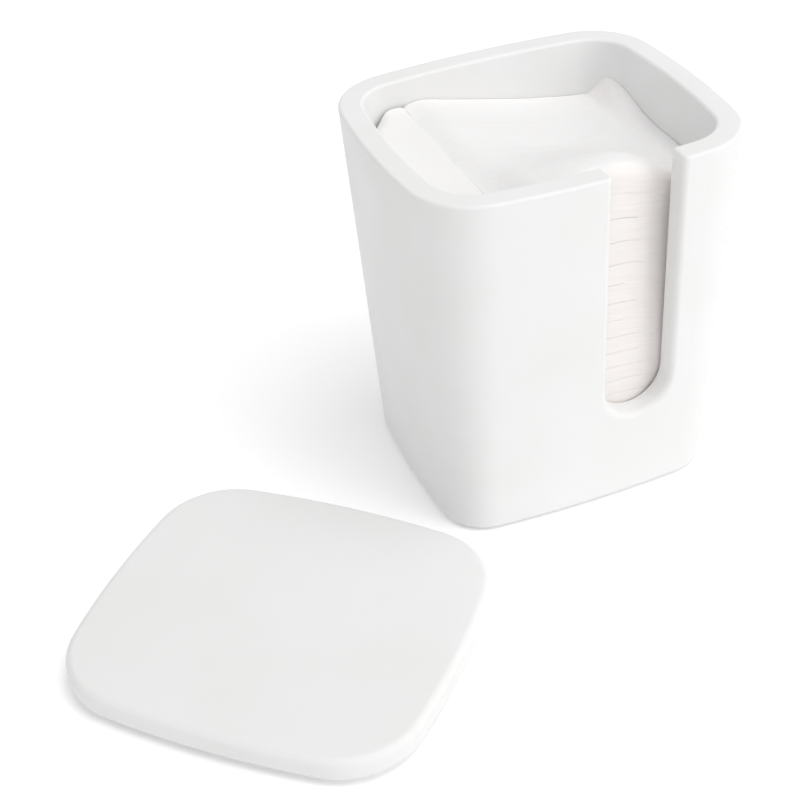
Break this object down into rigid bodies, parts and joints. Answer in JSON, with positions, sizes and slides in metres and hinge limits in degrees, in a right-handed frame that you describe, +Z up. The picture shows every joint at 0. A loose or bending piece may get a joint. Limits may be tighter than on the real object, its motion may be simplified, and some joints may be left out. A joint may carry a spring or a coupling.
{
  "type": "cotton pad box",
  "caption": "Open-topped box with leaning, bowed walls and an offset U-slot in front for drawing out stacked cotton pads, with a flat sponge on edge beside them and a loose flat lid.",
  "frame": {"origin": "middle of the underside of the non-slip sheet, on the table", "axes": "+X to the right along the slotted front wall, +Y from the slotted front to the back, +Z up from the table to the rim"},
  "size_m": [0.1822, 0.1324, 0.0982],
  "materials": {
    "cast_resin": "smooth matt white cast resin with a fine mineral grain",
    "foam_sheet": "closed-cell foam sheet, matt, finely pitted",
    "sponge": "soft latex foam, off-white, matt, with very fine open pores",
    "cotton": "unbleached-white carded cotton, fibres lying left to right, fuzzy cut edges"
  },
  "bodies": {
    "box": {"box_body": "cast_resin", "base_pad": "foam_sheet"},
    "lid": {"lid": "cast_resin"},
    "sponge": {"makeup_sponge": "sponge"},
    "pad_01": {"cotton_pad_01": "cotton"},
    "pad_02": {"cotton_pad_02": "cotton"},
    "pad_03": {"cotton_pad_03": "cotton"},
    "pad_04": {"cotton_pad_04": "cotton"},
    "pad_05": {"cotton_pad_05": "cotton"},
    "pad_06": {"cotton_pad_06": "cotton"},
    "pad_07": {"cotton_pad_07": "cotton"},
    "pad_08": {"cotton_pad_08": "cotton"},
    "pad_09": {"cotton_pad_09": "cotton"},
    "pad_10": {"cotton_pad_10": "cotton"},
    "pad_11": {"cotton_pad_11": "cotton"},
    "pad_12": {"cotton_pad_12": "cotton"},
    "pad_13": {"cotton_pad_13": "cotton"},
    "pad_14": {"cotton_pad_14": "cotton"},
    "pad_15": {"cotton_pad_15": "cotton"},
    "pad_16": {"cotton_pad_16": "cotton"},
    "pad_17": {"cotton_pad_17": "cotton"},
    "pad_18": {"cotton_pad_18": "cotton"}
  },
  "joints": [
    {"name": "lid_lift", "type": "slide", "parent": "box", "child": "lid", "axis": [0, 0, 1], "range_m": [0, 0.11]},
    {"name": "sponge_lift", "type": "slide", "parent": "box", "child": "sponge", "axis": [0, 0, 1], "range_m": [0, 0.06]},
    {"name": "pad_01_lift", "type": "slide", "parent": "box", "child": "pad_01", "axis": [0, 0, 1], "range_m": [0, 0.012]},
    {"name": "pad_02_lift", "type": "slide", "parent": "pad_01", "child": "pad_02", "axis": [0, 0, 1], "range_m": [0, 0.012]},
    {"name": "pad_03_lift", "type": "slide", "parent": "pad_02", "child": "pad_03", "axis": [0, 0, 1], "range_m": [0, 0.012]},
    {"name": "pad_04_lift", "type": "slide", "parent": "pad_03", "child": "pad_04", "axis": [0, 0, 1], "range_m": [0, 0.012]},
    {"name": "pad_05_lift", "type": "slide", "parent": "pad_04", "child": "pad_05", "axis": [0, 0, 1], "range_m": [0, 0.012]},
    {"name": "pad_06_lift", "type": "slide", "parent": "pad_05", "child": "pad_06", "axis": [0, 0, 1], "range_m": [0, 0.012]},
    {"name": "pad_07_lift", "type": "slide", "parent": "pad_06", "child": "pad_07", "axis": [0, 0, 1], "range_m": [0, 0.012]},
    {"name": "pad_08_lift", "type": "slide", "parent": "pad_07", "child": "pad_08", "axis": [0, 0, 1], "range_m": [0, 0.012]},
    {"name": "pad_09_lift", "type": "slide", "parent": "pad_08", "child": "pad_09", "axis": [0, 0, 1], "range_m": [0, 0.012]},
    {"name": "pad_10_lift", "type": "slide", "parent": "pad_09", "child": "pad_10", "axis": [0, 0, 1], "range_m": [0, 0.012]},
    {"name": "pad_11_lift", "type": "slide", "parent": "pad_10", "child": "pad_11", "axis": [0, 0, 1], "range_m": [0, 0.012]},
    {"name": "pad_12_lift", "type": "slide", "parent": "pad_11", "child": "pad_12", "axis": [0, 0, 1], "range_m": [0, 0.012]},
    {"name": "pad_13_lift", "type": "slide", "parent": "pad_12", "child": "pad_13", "axis": [0, 0, 1], "range_m": [0, 0.012]},
    {"name": "pad_14_lift", "type": "slide", "parent": "pad_13", "child": "pad_14", "axis": [0, 0, 1], "range_m": [0, 0.012]},
    {"name": "pad_15_lift", "type": "slide", "parent": "pad_14", "child": "pad_15", "axis": [0, 0, 1], "range_m": [0, 0.012]},
    {"name": "pad_16_lift", "type": "slide", "parent": "pad_15", "child": "pad_16", "axis": [0, 0, 1], "range_m": [0, 0.012]},
    {"name": "pad_17_lift", "type": "slide", "parent": "pad_16", "child": "pad_17", "axis": [0, 0, 1], "range_m": [0, 0.012]},
    {"name": "pad_18_lift", "type": "slide", "parent": "pad_17", "child": "pad_18", "axis": [0, 0, 1], "range_m": [0, 0.012]}
  ]
}
